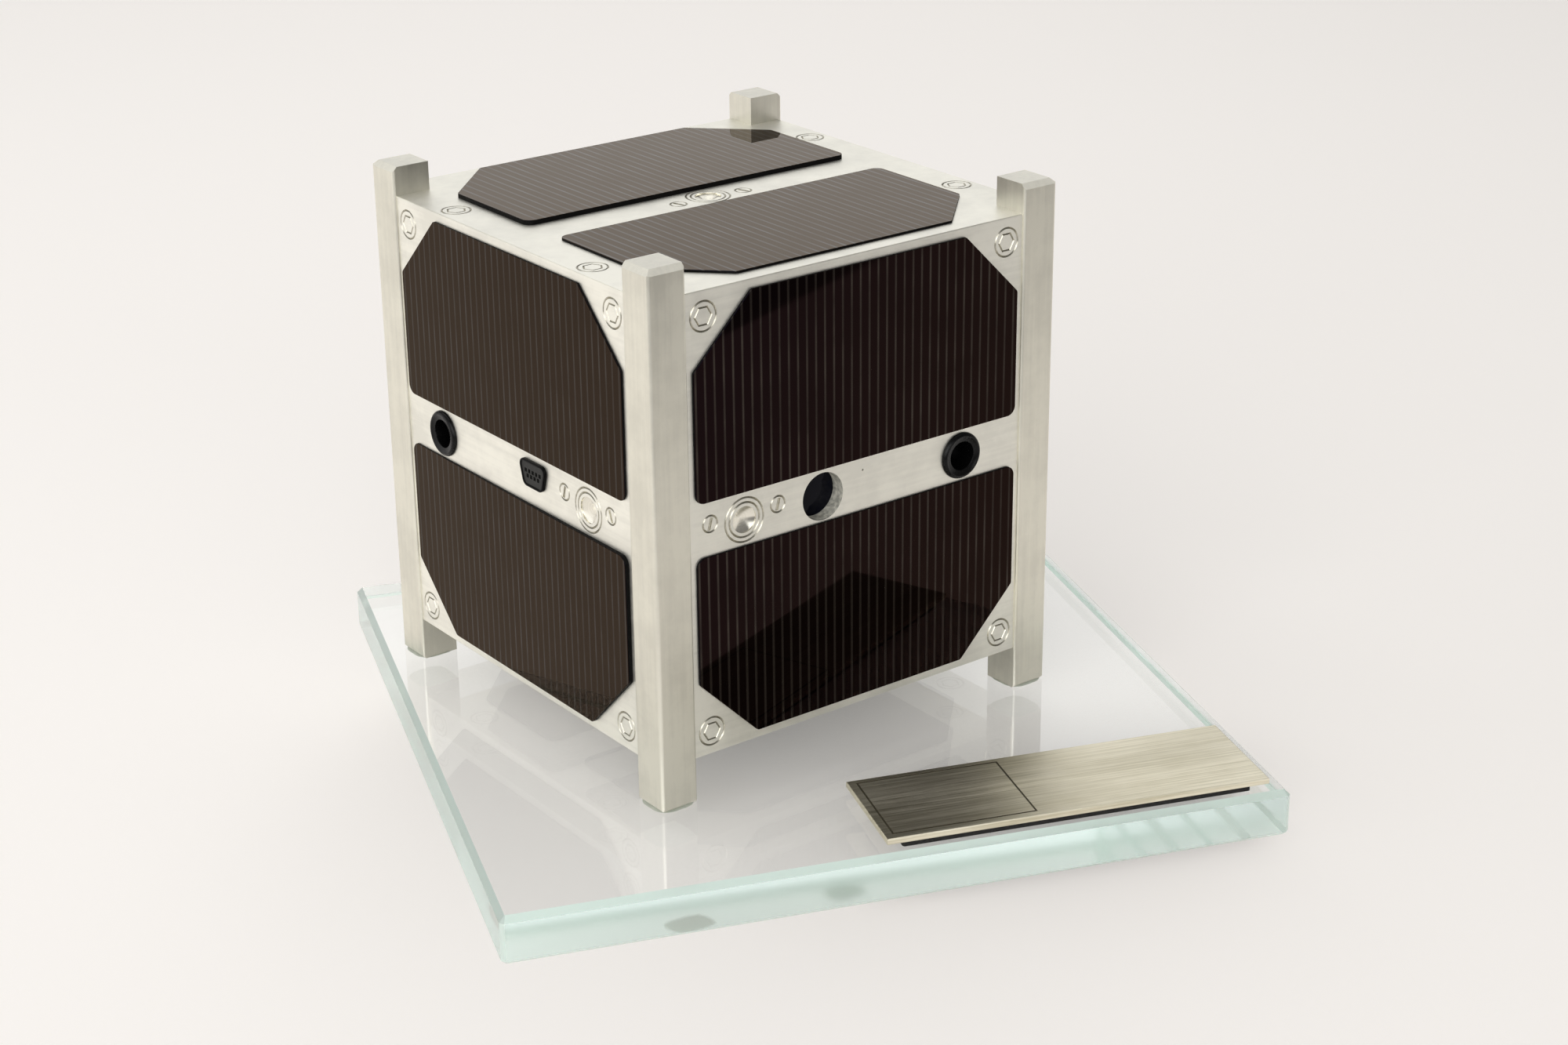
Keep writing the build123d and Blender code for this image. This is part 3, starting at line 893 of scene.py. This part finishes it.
# %% Connector
SHELL_WALL, SHELL_BACK, SHELL_PROUD, SHELL_EDGE, INSERT_PROUD = 0.5, -3.2, 0.7, 0.15, 0.5
CONTACT_PITCH, CONTACT_ROW = 1.27, 0.545
CONTACT_SIZE = (0.85, 0.85, 1.6)
shell = d_block("moulded_connector_shell", 0, SHELL_BACK, SHELL_PROUD)
cut(shell, d_block("mouth", SHELL_WALL, SHELL_BACK - CLEAR, SHELL_PROUD + CLEAR))
edit(shell)
pick(shell, "faces", lambda c: c.z > SHELL_PROUD - HAIR)
bpy.ops.mesh.region_to_loop()
bpy.ops.mesh.bevel(offset=SHELL_EDGE * MM, segments=2)
done()
insert = d_block("moulded_connector_insert", SHELL_WALL, SHELL_BACK, INSERT_PROUD)
contacts = [
    box("contact", CONTACT_SIZE, ((i - (count - 1) / 2) * CONTACT_PITCH, w, INSERT_PROUD))
    for w, count in ((CONTACT_ROW, 5), (-CONTACT_ROW, 4)) for i in range(count)
]
cut(insert, join("contacts", contacts))
for piece, material, slot, node in (
    (shell, SHELL_NYLON, "connector_black", "connector_shell"),
    (insert, INSERT_NYLON, "connector_grey", "connector_insert"),
):
    smooth(piece, FLAT_PIECE)
    set_in(piece, "left", CONNECTOR_U, CONNECTOR_W)
    dress(coat(piece, [material]), node)
    print(piece.name, "faces:", len(piece.data.polygons))

# %% [markdown]
# ## The name plate
#
# The plate is nickel silver, brushed lengthwise on a belt and left blank, with one engraved
# border where a name would go. Belt brushing leaves scratches some centimetres long and under a
# tenth of a millimetre wide, which is a noise texture squeezed hard along the belt's travel.
# They are drawn four times as wide, so that they show.

# %% Brushed nickel silver
def brushed_plate():
    """Nickel silver with belt scratches along X and soft patches of tarnish."""
    material = new_material("brushed_nickel_silver")
    place = add(material, "ShaderNodeTexCoord").outputs["Object"]
    lined = add(material, "ShaderNodeMapping", {"Scale": (45.0, 2600.0, 2000.0)}, {"Vector": place})
    scratches = add(material, "ShaderNodeTexNoise", {"Scale": 1.0, "Detail": 5.0, "Roughness": 0.7},
                    {"Vector": lined.outputs["Vector"]})
    tarnish = add(material, "ShaderNodeTexNoise", {"Scale": 60.0, "Detail": 4.0}, {"Vector": place})
    worn = add(material, "ShaderNodeMath", {"operation": "MULTIPLY_ADD", 1: 0.4},
               {0: tarnish.outputs["Fac"], 2: scratches.outputs["Fac"]})
    tone = ramp(material, worn.outputs["Value"], [(0.55, linear("#CCC5AC")), (0.85, linear("#F0EAD6"))])
    rough = add(material, "ShaderNodeMapRange",
                {"From Min": 0.3, "From Max": 0.7, "To Min": 0.32, "To Max": 0.46},
                {"Value": scratches.outputs["Fac"]})
    bump = add(material, "ShaderNodeBump", {"Strength": 0.25, "Distance": 0.00003},
               {"Height": scratches.outputs["Fac"]})
    shader = add(material, "ShaderNodeBsdfPrincipled", {"Metallic": 1.0, "Anisotropic": 0.4},
                 {"Base Color": tone.outputs["Color"], "Roughness": rough.outputs["Result"],
                  "Normal": bump.outputs["Normal"]})
    return finished(material, shader)


NICKEL_SILVER = brushed_plate()
ENGRAVED_LINE = cut_metal("darkened_engraving", "#6E6855", 0.5, 0.6, 1500.0, 0.3)
PLATE_FINISHES = [NICKEL_SILVER, ENGRAVED_LINE]
IN_LINE = 1
print("plate finishes:", [finish.name for finish in PLATE_FINISHES])

# %% The plate and its border
PLATE_SIZE, PLATE_EDGE = Vector((80, 25, 1.2)), 0.2
# The tape is 1.5 mm wider than its solid on each long side, so its dark line also paints the shade under the
# plate.
FOAM_SIZE, FOAM_BULGE = Vector((73, 23, 1.5)), 0.5
PLATE_X, PLATE_Y = 35.7, -65.9
PLATE_TOP = BASE_THICKNESS + FOAM_SIZE.z + PLATE_SIZE.z
BORDER_MIDDLE, BORDER_DEPTH = (-23.5, 0.2, 0), 0.15
BORDER_OUTER, BORDER_INNER = (29.8, 22.0), (29.0, 21.2)
plate = coat(box("brushed_name_plate", PLATE_SIZE, (0, 0, -PLATE_SIZE.z / 2)), PLATE_FINISHES)
edit(plate)
pick(plate, "edges", lambda c: c.z > -HAIR)
bpy.ops.mesh.bevel(offset=PLATE_EDGE * MM, segments=2)
done()
border = box("border", (*BORDER_OUTER, 2 * BORDER_DEPTH), BORDER_MIDDLE)
cut(border, box("inside", (*BORDER_INNER, CLEAR), BORDER_MIDDLE))
cut(plate, coat(border, PLATE_FINISHES, IN_LINE))
smooth(plate, FLAT_PIECE)
carry(plate, Matrix.Translation(Vector((PLATE_X, PLATE_Y, PLATE_TOP)) * MM))
dress(plate, "name_plate")
print(plate.name, "faces:", len(plate.data.polygons))

# %% [markdown]
# A strip of black foam tape holds the plate. It is a little smaller all round, so it shows as a
# dark line under the edge. It is drawn 1.5 mm nearer to the plate's long edges than the tape's
# solid, so that line also stands for the shade under the plate: it is partly painted shade. Its
# sides bulge where the plate presses on it.

# %% The foam tape
foam_middle = BASE_THICKNESS + FOAM_SIZE.z / 2
tape = box("foam_tape", FOAM_SIZE, (PLATE_X, PLATE_Y, foam_middle))
edit(tape)
pick(tape, "edges", lambda c: abs(c.z - foam_middle) < HAIR)
bpy.ops.mesh.bevel(offset=FOAM_BULGE * MM, segments=3)
done()
dress(coat(tape, [FOAM_TAPE_AND_SHADE]), "plate_pad")
print(tape.name, "faces:", len(tape.data.polygons))

# %% [markdown]
# ## The glass base
#
# Float glass is clear across its thickness and green along its length, from the iron in it. So
# the colour isn't on its surface: it is an absorbing volume, and the path through the glass
# decides how green it looks. Its two large faces are as they floated. Its cut sides were polished
# by hand and stay a little hazy, which softens the many images that the glass shows of itself,
# and the narrow arrises between them are only ground, which scatters light and makes them the
# palest part. One material does all three: each face stores how ground it is, and the shader
# reads that as roughness and as haze.

# %% Float glass
# How ground a face is: 0 as it floated, 1 straight off a coarse wheel.
AS_FLOATED, POLISHED_SIDE, GROUND_ARRIS = 0.0, 0.3, 0.8
GROUND_ROUGHNESS, GROUND_CLOUD = 0.45, 0.55


def float_glass():
    """Clear glass, green along its length. Reads an attribute that says how ground each face is."""
    material = new_material("polished_float_glass")
    ground = add(material, "ShaderNodeAttribute", {"attribute_name": "ground"}).outputs["Fac"]
    roughness = add(material, "ShaderNodeMath", {"operation": "MULTIPLY", 1: GROUND_ROUGHNESS}, {0: ground})
    clearness = add(material, "ShaderNodeMath", {"operation": "MULTIPLY_ADD", 1: -GROUND_CLOUD, 2: 1.0},
                    {0: ground})
    # What is cloudy has a colour: white on the sides, and palest green on the arrises.
    haze = ramp(material, ground,
                [(POLISHED_SIDE, linear("#FFFFFF")), (GROUND_ARRIS, linear("#F0FAF4"))])
    shader = add(material, "ShaderNodeBsdfPrincipled", {"IOR": 1.52},
                 {"Roughness": roughness.outputs["Value"], "Transmission Weight": clearness.outputs["Value"],
                  "Base Color": haze.outputs["Color"]})
    body = add(material, "ShaderNodeVolumeAbsorption", {"Color": linear("#7CF3D9"), "Density": 1.5})
    return finished(material, shader, {"Volume": body.outputs["Volume"]})


FLOAT_GLASS = float_glass()
print("base glass:", FLOAT_GLASS.name)

# %% The base and its arrises
SQUARE_ON = 0.99
# Which edges are ground: (width of the arris, test on an edge's middle in mm)
ARRISES = [
    (0.8, lambda c: abs(c.z - BASE_THICKNESS / 2) < HAIR),
    (1.2, lambda c: c.z > BASE_THICKNESS - HAIR),
    (0.8, lambda c: c.z < HAIR),
]
base = box("ground_and_polished_base", (BASE_SIDE, BASE_SIDE, BASE_THICKNESS), (0, 0, BASE_THICKNESS / 2))
for width, test in ARRISES:
    edit(base)
    pick(base, "edges", test)
    bpy.ops.mesh.bevel(offset=width * MM, segments=1)
    done()
ground = base.data.attributes.new("ground", "FLOAT", "FACE")
for polygon, value in zip(base.data.polygons, ground.data):
    up, side = abs(polygon.normal.z), max(abs(polygon.normal.x), abs(polygon.normal.y))
    value.value = AS_FLOATED if up > SQUARE_ON else POLISHED_SIDE if side > SQUARE_ON else GROUND_ARRIS
dress(coat(base, [FLOAT_GLASS]), "base_glass")
print("ground faces:", sum(1 for value in ground.data if value.value), "of", len(base.data.polygons))
# Light for the paper under the base is sent straight through the glass, as clear glass passes
# nearly all of it. The renderer would otherwise have to find each bent path by chance.
base.visible_shadow = False
base.visible_diffuse = False

# %% [markdown]
# Each rail is fixed by a thin pad of glue, squeezed out a little round its foot. From above it is
# a fine bright line. From the front, through the glass's edge, it is a cloudy oval.

# %% Glue pads
GLUE = plain_surface("cloudy_set_glue", "#C9CEC4", 0.35, 900.0)
GLUE_SIDE, GLUE_CORNER, GLUE_HEIGHT, GLUE_SUNK = 9.1, 3.2, 0.05, 0.03


def glue_pad(x, y):
    """A flat round-cornered pad under the rail at x and y, sunk a hair into the glass."""
    pad = sheet("glue_pad", GLUE_SIDE, GLUE_SIDE)
    edit(pad, "VERT")
    bpy.ops.mesh.select_all(action="SELECT")
    bpy.ops.mesh.bevel(offset=GLUE_CORNER * MM, segments=6, affect="VERTICES")
    thicken(GLUE_HEIGHT)
    face_outwards()
    done()
    return carry(pad, SATELLITE @ Matrix.Translation(Vector((x, y, -GLUE_SUNK)) * MM))


pads = [glue_pad(x * RAIL_MIDDLE, y * RAIL_MIDDLE) for x in (-1, 1) for y in (-1, 1)]
glue = coat(join("glue_pads", pads), [GLUE])
dress(glue)
print("glue pads:", len(pads))

# %% [markdown]
# ## Floor and light
#
# The satellite stands on a sheet of pale translucent paper, lit weakly from below as a product
# table is, so shadows on it stay soft. The sheet ends not far in front. Upright metal mirrors what
# lies in front of it, and the higher the metal, the farther out: so the rails are bright low down,
# where they mirror the sheet, and duller higher up, where they mirror the dim room past its end. A
# second floor carries on past that end for the camera alone, so a view from behind has no edge
# across it, and no metal mirrors it. White walls in front and at the left, a soft box over them,
# one overhead and one at the back do the rest. The one at the back is what the glossy top cells
# mirror.

# %% Floor
SHEET_FRONT, FLOOR_SIDE, FLOOR_GAP = 0.22, 12.0, 0.02 * MM

# name: (middle of its depth in metres, whether other things mirror it and are lit by it)
FLOORS = {
    "lit_sheet": (FLOOR_SIDE / 2 - SHEET_FRONT, True),
    "floor_past_the_sheet": (-FLOOR_SIDE / 2 - SHEET_FRONT, False),
}
paper = new_material("seamless_paper")
place = add(paper, "ShaderNodeTexCoord").outputs["Object"]
fibre = add(paper, "ShaderNodeTexNoise", {"Scale": 1500.0, "Detail": 3.0}, {"Vector": place})
tone = ramp(paper, fibre.outputs["Fac"], [(0.3, linear("#F1EDE9")), (0.7, linear("#F5F1ED"))])
shader = add(paper, "ShaderNodeBsdfPrincipled",
             {"Roughness": 0.9, "Specular IOR Level": 0.2,
              "Emission Color": linear("#FFFCF8"), "Emission Strength": 0.18},
             {"Base Color": tone.outputs["Color"]})
finished(paper, shader)
for name, (middle, lights_others) in FLOORS.items():
    start()
    bpy.ops.mesh.primitive_plane_add(size=FLOOR_SIDE)
    floor = bpy.context.object
    floor.name = name
    floor.location = (0, middle, -FLOOR_GAP)
    bpy.ops.object.transform_apply(location=True, rotation=True, scale=True)
    floor.data.materials.append(paper)
    floor.visible_glossy = lights_others
    floor.visible_diffuse = lights_others
    floor.visible_transmission = lights_others
    floor.visible_shadow = lights_others
    print(name, "from y =", round(middle - FLOOR_SIDE / 2, 2), "to", round(middle + FLOOR_SIDE / 2, 2))

# %% Lights
world = bpy.data.worlds.new("studio_room")
bpy.context.scene.world = world
world.use_nodes = True
room = world.node_tree.nodes["Background"]
room.inputs["Color"].default_value = linear("#F4F2F0")
room.inputs["Strength"].default_value = 0.24

# name: (width, height, power in watts, place, what it points at), with lengths in metres
LIGHTS = {
    "overhead_soft_box": (1.6, 1.2, 5.5, (-0.1, 0.35, 1.1), (0, 0, 0)),
    "key_soft_box": (2.0, 1.4, 17.0, (-1.0, -1.6, 1.2), (0, 0, 0.05)),
    "front_white_wall": (2.8, 0.95, 13.5, (-0.5, -1.7, 0.48), (-0.5, 0, 0.48)),
    "left_white_wall": (3.2, 0.95, 10.5, (-1.6, 0.0, 0.48), (0, 0, 0.48)),
    "back_soft_box": (2.4, 0.9, 5.7, (0.3, 1.7, 0.75), (0, 0, 0.05)),
}
for name, (width, height, power, place, target) in LIGHTS.items():
    start()
    bpy.ops.object.light_add(type="AREA", location=place)
    lamp = bpy.context.object
    lamp.name = name
    lamp.data.shape = "RECTANGLE"
    lamp.data.size = width
    lamp.data.size_y = height
    lamp.data.energy = power
    lamp.rotation_euler = (Vector(target) - Vector(place)).to_track_quat("-Z", "Y").to_euler()
    print(name, "power", power)

# Light that gets into a sheet of glass is mirrored many times before it gets out.
bpy.context.scene.cycles.max_bounces = 32
bpy.context.scene.cycles.glossy_bounces = 24
bpy.context.scene.cycles.transmission_bounces = 24
bpy.context.scene.view_settings.view_transform = "Standard"
